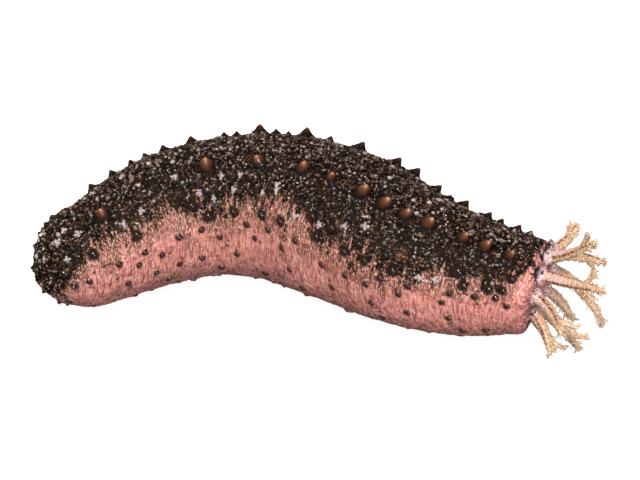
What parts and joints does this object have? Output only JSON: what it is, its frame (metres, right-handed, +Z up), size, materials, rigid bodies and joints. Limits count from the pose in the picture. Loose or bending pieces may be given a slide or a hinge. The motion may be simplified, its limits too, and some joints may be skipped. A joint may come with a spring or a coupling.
{
  "type": "sea cucumber model",
  "caption": "Life-size still model of a sea cucumber: plump papillate body on a flat sole, with branched feeding tentacles spread at the mouth.",
  "frame": {"origin": "flat end of a tube foot of the middle row of the sole, under the middle of the body, on the floor", "axes": "+X from tail to tentacles, +Z up, -Y the animal's right flank"},
  "size_m": [0.2542, 0.1376, 0.0665],
  "materials": {
    "skin": "wet, granular, near-black back over a salmon pink sole",
    "oral_disc": "soft, moist, mauve pink",
    "tentacle": "soft, moist, cream with brown mottling"
  },
  "bodies": {
    "root": {"posterior_end": "skin", "hind_trunk": "skin", "mid_trunk": "skin", "fore_trunk": "skin", "anterior_end": "skin", "oral_disc": "oral_disc", "tentacle_1_stalk": "tentacle", "tentacle_1_frond": "tentacle", "tentacle_2_stalk": "tentacle", "tentacle_2_frond": "tentacle", "tentacle_3_stalk": "tentacle", "tentacle_3_frond": "tentacle", "tentacle_4_stalk": "tentacle", "tentacle_4_frond": "tentacle", "tentacle_5_stalk": "tentacle", "tentacle_5_frond": "tentacle", "tentacle_6_stalk": "tentacle", "tentacle_6_frond": "tentacle", "tentacle_7_stalk": "tentacle", "tentacle_7_frond": "tentacle", "tentacle_8_stalk": "tentacle", "tentacle_8_frond": "tentacle", "tentacle_9_stalk": "tentacle", "tentacle_9_frond": "tentacle", "tentacle_10_stalk": "tentacle", "tentacle_10_frond": "tentacle"}
  },
  "joints": []
}
